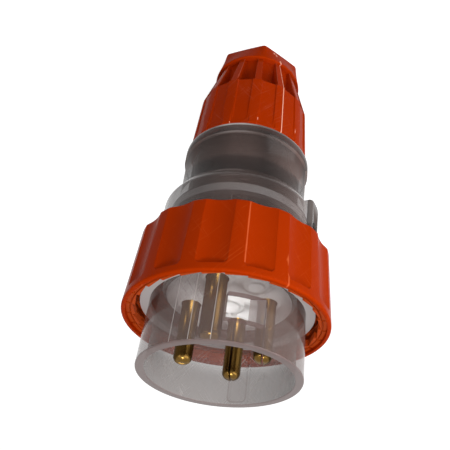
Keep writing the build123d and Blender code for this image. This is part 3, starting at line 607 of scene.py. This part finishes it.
def make_locking_ring():
    """Cone with a scooped floor in each flute, a stepped mouth with saw teeth, and a helical groove inside.

    Outside: r = softly_lower(R, x / cos(angle)), x = R - depth + max(scoop, slope * gap), and
    scoop = 17.5 - sqrt(17.5**2 - across**2). Teeth: a straight line in polar steps from a tooth's root to its
    tip. The shelf in front of them goes down in a notch beside each tooth and in a narrow line all round.
    Thread: a trapezoid wave of height - pitch * turns."""
    step = 360 / TEETH
    edges = TOOTH_START + np.arange(TEETH) * 360 / TEETH
    notches = edges[:, None] + np.array(NOTCH_SIDES) * 360 / TEETH
    extra = np.concatenate([edges - 0.06, edges + 0.06, notches.ravel()])
    angles = fluted_angles(FLUTES, FLUTE_START, 6.6, 8.4, 11, 4, extra)
    profile = closed_profile(
        [(SKIRT_HOLE, RING_LOW, 0.3, 1.2), (RING_REAR, RING_LOW, 0.5, 1.6), (ring_cone(135.2), 135.2, 0, 0.2),
         (ring_cone(138.4), 138.4, 0, 0.6), (RING_MOUTH, RING_HIGH, 0.8, 0.6),
         (FRONT_BORE, RING_HIGH, 0.15, 0.5), (FRONT_BORE, TOOTH_TOP, 0, 0.25),
         (TOOTH_TIP + 0.6, TOOTH_TOP, 0, 1.0), (TOOTH_WALL, TOOTH_TOP - 0.04, 0, 0.7),
         (TOOTH_WALL, TOOTH_LOW, 0, 1.0), (RING_BORE, TOOTH_LOW - 0.05, 0, 0.5),
         (RING_BORE, SKIRT_TOP, 0, 1.0), (SKIRT_HOLE, SKIRT_TOP, 0.3, 1.0)], 0.5)
    r0, z0 = profile[:, 0][None, :], profile[:, 1][None, :]
    turn = angles[:, None]
    cone = ring_cone(z0)
    outside = (r0 > cone - 1.2) & ((r0 > FRONT_BORE - NEAR) | (z0 < 130))
    phi = wrapped(turn, FLUTE_START, 360 / FLUTES)
    across = np.clip(cone * np.sin(np.radians(phi)), -9, 9)
    gap = rounded_box_gap(across, z0, FLUTE_HALF, RING_LOW - 8, FLUTE_END, FLUTE_ROUND)
    scoop = FLUTE_SCOOP - np.sqrt(FLUTE_SCOOP**2 - across**2)
    rise = np.logaddexp(scoop / FLANK_SOFT, FLANK_SLOPE * gap / FLANK_SOFT) * FLANK_SOFT
    floor = (cone - FLUTE_DEPTH + rise) / np.cos(np.radians(phi))
    radius = np.where(outside, softly_lower(r0, floor, FLANK_SOFT), r0 + 0 * turn)
    share = ((turn - TOOTH_START) % step) / step
    sines = [np.sin(np.radians(part * step)) for part in (1.0, share, 1 - share)]
    straight = RING_BORE * TOOTH_TIP * sines[0] / (RING_BORE * sines[1] + TOOTH_TIP * sines[2])
    toothed = (np.abs(r0 - TOOTH_WALL) < NEAR) & (z0 > TOOTH_LOW - 0.02)
    radius = np.where(toothed, straight, radius)
    shelf = (np.abs(z0 - TOOTH_TOP) < NEAR) & (r0 < FRONT_BORE - NEAR)
    radius = np.where(shelf, np.maximum(radius, straight), radius)
    in_share = np.clip(np.minimum(share - NOTCH_SIDES[0], NOTCH_SIDES[-1] - share) / 0.02, 0, 1)
    in_reach = np.clip(np.minimum(r0 - NOTCH_IN, NOTCH_OUT - r0) / 0.2, 0, 1)
    line = LINE_DEPTH * np.clip((0.3 - np.abs(radius - LINE_RADIUS)) / 0.1, 0, 1)
    lowered = np.where(shelf, np.maximum(NOTCH_DEPTH * in_share * in_reach, line), 0)
    bore = (np.abs(r0 - RING_BORE) < NEAR) & (z0 < TOOTH_LOW)
    wave = np.abs(wrapped(z0 - THREAD_PITCH * turn / 360, 0.0, THREAD_PITCH))
    groove = THREAD_DEPTH * np.clip((1.35 - wave) / 0.5, 0, 1) * np.clip(z0 - RING_LOW - 4.5, 0, 1)
    radius = np.where(bore, radius + groove, radius)
    # The bore and teeth rows take the second finish, the lighter orange that paints light onto the inside
    parts = ((profile[:, 0] < FRONT_BORE - NEAR) & (profile[:, 1] > RING_LOW + 3.0)).astype(int)
    return lathe_surface("locking_ring_shell", angles, radius, z0 - lowered, parts=parts)


# Gland nut, in mm and degrees: its flange is six-sided at the end and round at the top
NUT_LENGTH, FLANGE_TOP, WAIST = 59.0, 10.4, 30.5
HEX_RADIUS, FLANGE_RADIUS, NECK_RADIUS, WAIST_RADIUS, NUT_RADIUS = 19.9, 20.7, 19.4, 24.9, 26.3
HEX_ROUND, HEX_START = 2.2, 250.7
RIBS, RIB_START = 14, 266.9
POCKET_FLOOR, PANEL_DEPTH, PANEL_HALF, PANEL_LOW = 17.8, 0.7, 3.1, 26.0


def hexagon_radius(angle, corner_radius, first_corner, rounding):
    """Radius of a hexagon with round corners: flat sides, and an arc of the rounding at each corner."""
    sides = corner_radius * np.cos(np.pi / 6) / np.cos(np.radians(wrapped(angle, first_corner + 30, 60.0)))
    centre = corner_radius - rounding / np.sin(np.pi / 3)
    off = np.radians(wrapped(angle, first_corner, 60.0))
    limit = np.arctan2(rounding / 2, centre + rounding * np.cos(np.pi / 6))
    arc = centre * np.cos(off) + np.sqrt(np.maximum(rounding**2 - (centre * np.sin(off)) ** 2, 0))
    return np.where(np.abs(off) < limit, arc, sides)


def make_gland_nut():
    """Turned shell: a flange that goes from hexagon to circle, pockets between ribs, and shallow panels.

    Flange: r = (1 - s) * hexagon(angle) + s * circle. Pockets: r = floor(height) / cos(angle) inside the
    pocket's angle, with a ramp to the waist. Panels: r = softly_lower(R, x / cos(angle)), with
    x = R - depth + slope * gap."""
    period = 360 / RIBS
    walls = np.array([7.4, 7.8, 8.2, 8.5, 8.8, 9.1, 9.4, 9.8, 10.2])
    walls = np.concatenate([walls, -walls])
    starts = RIB_START + np.arange(RIBS) * period
    corners = (HEX_START + np.arange(6)[:, None] * 60 + np.linspace(-7, 7, 15)[None, :]).ravel()
    extra = np.concatenate([(starts[:, None] + walls[None, :]).ravel(), corners])
    angles = fluted_angles(RIBS, RIB_START, 6.2, 7.3, 5, 4, extra)
    profile = closed_profile(
        [(11.0, 0.0, 0.7), (HEX_RADIUS, 0.0, 1.1), (FLANGE_RADIUS, FLANGE_TOP, 0.6), (18.9, FLANGE_TOP, 0),
         (NECK_RADIUS, FLANGE_TOP + 0.02, 0), (WAIST_RADIUS, WAIST, 1.5, 1.2), (26.03, 53.5, 0, 0.3),
         (26.22, 57.4, 0, 0.5), (NUT_RADIUS, NUT_LENGTH, 0.8), (23.2, NUT_LENGTH, 0.2), (23.2, 55.0, 0),
         (22.6, 54.4, 0, 4.0), (22.6, 31.2, 0, 4.0), (11.0, 31.2, 0.2, 4.0)], 0.7)
    r0, z0 = profile[:, 0][None, :], profile[:, 1][None, :]
    turn = angles[:, None]
    inside = (r0 < 11.8) | ((z0 > 31.0) & (r0 < 24.0))
    flange = (z0 <= FLANGE_TOP + 0.001) & ~inside
    share = np.clip(z0 / FLANGE_TOP, 0, 1)
    six = hexagon_radius(turn, HEX_RADIUS, HEX_START, HEX_ROUND)
    shape = (1 - share) * six / HEX_RADIUS + share
    end_face = np.clip((r0 - 11.7) / 2.0, 0, 1)
    radius = np.where(flange, r0 * (1 + (shape - 1) * end_face), r0 + 0 * turn)
    skin = (z0 > FLANGE_TOP + 0.001) & ~inside
    phi = wrapped(turn, RIB_START, period)
    neck = NECK_RADIUS + (WAIST_RADIUS - NECK_RADIUS) * (z0 - FLANGE_TOP) / (WAIST - FLANGE_TOP)
    skirt = WAIST_RADIUS + (NUT_RADIUS - WAIST_RADIUS) * (z0 - WAIST) / (NUT_LENGTH - WAIST)
    cone = np.where(z0 < WAIST, neck, skirt)
    wall = np.clip(np.abs(phi) - 8.4, 0, 1)
    wall = wall * wall * (3 - 2 * wall)
    pocket = (POCKET_FLOOR + 7.8 * np.clip((z0 - 26.2) / 4.9, 0, 1)) / np.cos(np.radians(phi))
    pocket = pocket + (cone - np.minimum(pocket, cone)) * wall
    across = cone * np.sin(np.radians(phi))
    gap = rounded_box_gap(across, z0, PANEL_HALF, PANEL_LOW, NUT_LENGTH - 2.4, 1.0)
    panel = (cone - PANEL_DEPTH + FLANK_SLOPE * gap) / np.cos(np.radians(phi))
    radius = np.where(skin, np.minimum(np.minimum(r0, pocket), softly_lower(r0, panel, 0.04)), radius)
    return lathe_surface("gland_nut_shell", angles, radius, z0 + 0 * turn)


# Clear shroud round the pins, in mm and degrees, and the order of its finishes
RIM, FLOOR, FLANGE_FRONT, FLANGE_BACK = 162.0, 131.0, 133.5, 129.0
RIM_RADIUS, BASE_RADIUS, MOUTH_BORE, FLOOR_BORE = 30.7, 30.1, 27.5, 27.0
WINDOW_ANGLE, WINDOW_HALF, WINDOW_LOW, WINDOW_HIGH, WINDOW_RADIUS = 241.8, 6.9, 143.1, 153.0, 30.0
ON_OUTSIDE, ON_INSIDE, ON_RIM, ON_WINDOW, ON_RAMP = range(5)


def outer_wall(z):
    """Radius of the shroud's outside, which goes evenly from its flange to its rim."""
    return BASE_RADIUS + (RIM_RADIUS - BASE_RADIUS) * (z - FLANGE_FRONT) / (RIM - FLANGE_FRONT)


def inner_wall(z):
    """Radius of the shroud's inside, which goes evenly from its floor to its rim."""
    return FLOOR_BORE + (MOUTH_BORE - FLOOR_BORE) * (z - FLOOR) / (RIM - FLOOR)


def make_shroud():
    """Turned wall with a rectangular window and an outside key.

    The window's sides are planes: an angle d from its middle becomes asin(sin(d) * 30 / r) at radius r.
    Key: r = 31.7 / cos(angle) inside a rounded rectangle on the outer wall, falling back over 0.3 mm."""
    half = np.degrees(np.arcsin(WINDOW_HALF / WINDOW_RADIUS))
    first_edge, last_edge = WINDOW_ANGLE - half, WINDOW_ANGLE + half
    key_lines = 90 + np.concatenate([np.linspace(-7.9, -6.3, 9), np.linspace(6.3, 7.9, 9)])
    lines = np.concatenate([np.arange(0, 360, 0.75), [first_edge, last_edge], key_lines])
    angles = np.unique(np.round(lines, 4))
    profile = closed_profile(
        [(MOUTH_BORE, RIM, 0.35), (RIM_RADIUS, RIM, 0.45), (outer_wall(WINDOW_HIGH), WINDOW_HIGH, 0),
         (outer_wall(WINDOW_LOW), WINDOW_LOW, 0), (BASE_RADIUS, FLANGE_FRONT, 0), (34.2, FLANGE_FRONT, 0.2),
         (34.2, FLANGE_BACK, 0.2), (31.9, FLANGE_BACK, 0, 2.0), (31.9, 117.0, 0), (28.9, 117.0, 0, 2.0),
         (28.9, 97.8, 0), (26.4, 97.8, 0, 2.0), (26.4, FLANGE_BACK, 0), (24.6, FLANGE_BACK, 0),
         (24.6, FLOOR, 0), (FLOOR_BORE, FLOOR, 1.2), (inner_wall(WINDOW_LOW), WINDOW_LOW, 0),
         (inner_wall(WINDOW_HIGH), WINDOW_HIGH, 0)], 0.7)
    r0, z0 = profile[:, 0][None, :], profile[:, 1][None, :]
    turn = angles[:, None]
    outer = (r0 > 29.4) & (z0 > FLANGE_FRONT + 0.1)
    off_key = wrapped(turn, 90.0, 360.0)
    lean = np.radians(np.clip(off_key, -30, 30))
    gap = rounded_box_gap(KEY_FACE * np.sin(lean), z0, KEY_HALF, 120.0, KEY_END, KEY_ROUND)
    raised = np.maximum(KEY_FACE / np.cos(lean) - r0, 0) * np.clip(1 - gap / 0.3, 0, 1)
    radius = np.where(outer & (np.abs(off_key) < 30), r0 + raised, r0 + 0 * turn)
    offset = wrapped(turn, WINDOW_ANGLE, 360.0)
    fade = np.clip(1 - (np.abs(offset) - half) / 20, 0, 1)
    sine = np.sin(np.radians(offset)) * WINDOW_RADIUS / np.clip(r0, 26.9, 30.9)
    bent = np.degrees(np.arcsin(np.clip(sine, -1, 1)))
    shift = np.where((np.abs(offset) < 60) & (r0 < 31.0) & (z0 > FLOOR), (bent - offset) * fade, 0)
    before_last = (np.roll(angles, -1) < last_edge + TOUCH) & (angles < last_edge - TOUCH)
    in_angle = (angles > first_edge - TOUCH) & before_last
    next_r, next_z = np.roll(profile[:, 0], -1), np.roll(profile[:, 1], -1)
    low, high = np.minimum(profile[:, 1], next_z), np.maximum(profile[:, 1], next_z)
    wall_run = (profile[:, 0] < 31.0) & (next_r < 31.0)
    in_height = wall_run & (low > WINDOW_LOW - TOUCH) & (high < WINDOW_HIGH + TOUCH)
    keep = ~(in_angle[:, None] & in_height[None, :])
    columns = len(profile)
    outer_cut = np.flatnonzero(in_height & (profile[:, 0] > 29))
    inner_cut = np.flatnonzero(in_height & (profile[:, 0] < 29))
    first_row = np.flatnonzero(np.abs(angles - round(first_edge, 4)) < TOUCH)[0]
    last_row = np.flatnonzero(np.abs(angles - round(last_edge, 4)) < TOUCH)[0]
    outer_top, outer_low = outer_cut[0], outer_cut[-1] + 1
    inner_low, inner_top = inner_cut[0], inner_cut[-1] + 1
    here = np.arange(first_row, last_row) * columns
    beside = here + columns
    sills = []
    for out, inn, flip in ((outer_top, inner_top % columns, False), (outer_low, inner_low, True)):
        quad = np.stack([here + out, here + inn, beside + inn, beside + out], axis=-1)
        sills.append(quad[:, ::-1] if not flip else quad)
    steps = min(len(outer_cut), len(inner_cut))
    jambs = []
    for row, flip in ((first_row, False), (last_row, True)):
        out = row * columns + outer_top + np.arange(len(outer_cut) + 1)
        inn = row * columns + (inner_top - np.arange(len(inner_cut) + 1)) % columns
        quad = np.stack([out[:steps], out[1:steps + 1], inn[1:steps + 1], inn[:steps]], axis=-1)
        jambs.append(quad if flip else quad[:, ::-1])
    rim_run = (low > RIM - 0.5) & (profile[:, 0] > 27.2) & (next_r > 27.2) & (profile[:, 0] < 31.0)
    inner_run = (np.maximum(profile[:, 0], next_r) < 27.55) & (low >= FLOOR - TOUCH) & ~rim_run
    parts = np.where(rim_run, ON_RIM, np.where(inner_run, ON_INSIDE, ON_OUTSIDE))
    sides = np.vstack(sills + jambs)
    return lathe_surface("shroud_shell", turn + shift, radius, z0 + 0 * turn, keep, sides, parts, ON_WINDOW)


def add_window_ramp(shroud):
    """Closed wedge at the window's far side, between two heights.

    Its corners lie r * outward + d * sideways from the plug's axis, outward through the window's middle."""
    middle = np.radians(WINDOW_ANGLE)
    outward = np.array([np.cos(middle), np.sin(middle)])
    sideways = np.array([-np.sin(middle), np.cos(middle)])
    plan = np.array([(29.45, -6.85), (27.1, -1.6), (26.45, -6.85)])
    flat = plan[:, :1] * outward + plan[:, 1:] * sideways
    heights = (WINDOW_LOW + 0.05, WINDOW_HIGH - 0.05)
    places = np.vstack([np.column_stack([flat, np.full(3, z)]) for z in heights]) * MM
    shape = bmesh.new()
    shape.from_mesh(shroud.data)
    corners = [shape.verts.new(place) for place in places]
    sides = ((0, 2, 1), (3, 4, 5), (0, 1, 4, 3), (1, 2, 5, 4), (2, 0, 3, 5))
    made = [shape.faces.new([corners[k] for k in side]) for side in sides]
    for face in made:
        face.material_index = ON_RAMP
    bmesh.ops.recalc_face_normals(shape, faces=made)
    shape.to_mesh(shroud.data)
    shape.free()
    return shroud


SHROUD_FINISHES = [
    clear_material("clear_shroud_outside", (0.135, 0.088, 0.077), 0.50, 0.26, slanted=0.26, specular=0.2,
                   marks=moulding_lines),
    clear_material("clear_shroud_inside", (0.19, 0.168, 0.160), 0.38, 0.18, specular=0.3,
                   haze_and_sheen=(0.60, 0.58, 0.57), marks=crossed_scratches, over=key_shadow,
                   dull=(140.0, 152.0, 0.40)),
    clear_material("clear_shroud_rim", (0.155, 0.112, 0.106), 0.88, 0.6, specular=0.15),
    clear_material("clear_shroud_window", (0.125, 0.070, 0.064), 0.85, 0.7, specular=0.1),
    clear_material("clear_shroud_ramp", (0.30, 0.25, 0.24), 0.55, 0.25, specular=0.2),
]

place_camera()
for cad_name, cad_object in frame["nodes"].items():
    cad_object.data.materials.clear()
    cad_object.data.materials.append(MATERIALS["gasket" if cad_name == "face_gasket" else SLOT_OF[cad_name]])
    if cad_name not in ("locking_ring", "gland_nut", "front_shroud"):
        dress(smooth_copy(cad_name), cad_name)
dress(make_locking_ring(), "locking_ring", finishes=[MATERIALS["orange_ring"], MATERIALS["ring_inside_painted_light"]])
dress(make_gland_nut(), "gland_nut")
dress(add_window_ramp(make_shroud()), "front_shroud", finishes=SHROUD_FINISHES)


# Pale floor that the plug stands on, and a white surround
def looked_at(tree):
    """One where the camera sees a surface itself, mirrored or through something, and zero for its light."""
    path = tree.nodes.new("ShaderNodeLightPath")
    mirrored = calculate(tree, "MAXIMUM", path.outputs["Is Glossy Ray"], path.outputs["Is Transmission Ray"])
    return calculate(tree, "MAXIMUM", path.outputs["Is Camera Ray"], mirrored)


def lay_floor():
    """A large square at the height of the plug's foot."""
    side = 3.0
    mesh = bpy.data.meshes.new("floor")
    corners = [(-side, -side, 0), (side, -side, 0), (side, side, 0), (-side, side, 0)]
    mesh.from_pydata(corners, [], [(0, 1, 2, 3)])
    floor = bpy.data.objects.new("floor", mesh)
    bpy.context.scene.collection.objects.link(floor)
    made, tree, shader = new_material("pale_floor")
    noise = tree.nodes.new("ShaderNodeTexNoise")
    noise.inputs["Scale"].default_value = 4.0
    place = tree.nodes.new("ShaderNodeTexCoord")
    tone = blend(tree, noise.outputs["Fac"], (0.50, 0.50, 0.503), (0.52, 0.52, 0.52))
    glow = calculate(tree, "MULTIPLY", looked_at(tree), 0.88)
    join(tree, (place.outputs["Object"], noise.inputs["Vector"]), (tone, shader.inputs["Base Color"]),
         (glow, shader.inputs["Emission Strength"]))
    shader.inputs["Roughness"].default_value = 0.9
    shader.inputs["Emission Color"].default_value = (1, 1, 1, 1)
    floor.data.materials.append(made)


def light_the_world():
    """An even surround, white where it is seen and dimmer as a light."""
    world = bpy.data.worlds.new("studio")
    bpy.context.scene.world = world
    world.use_nodes = True
    tree = world.node_tree
    back = tree.nodes["Background"]
    back.inputs["Color"].default_value = (1, 1, 1, 1)
    join(tree, (calculate(tree, "MULTIPLY_ADD", looked_at(tree), 0.76, 0.24), back.inputs["Strength"]))
    bpy.context.scene.view_settings.view_transform = "Standard"


lay_floor()
light_the_world()
area_light("key_box", (-0.30, -0.10, 0.20), (0, 0, 0.12), 0.34, 1.05)
area_light("front_fill", (-0.08, -0.22, 0.50), (0, 0, 0.13), 0.09, 1.1)
area_light("left_glint", (0.22, -0.42, 0.40), (0, 0, 0.06), 0.03, 0.4)
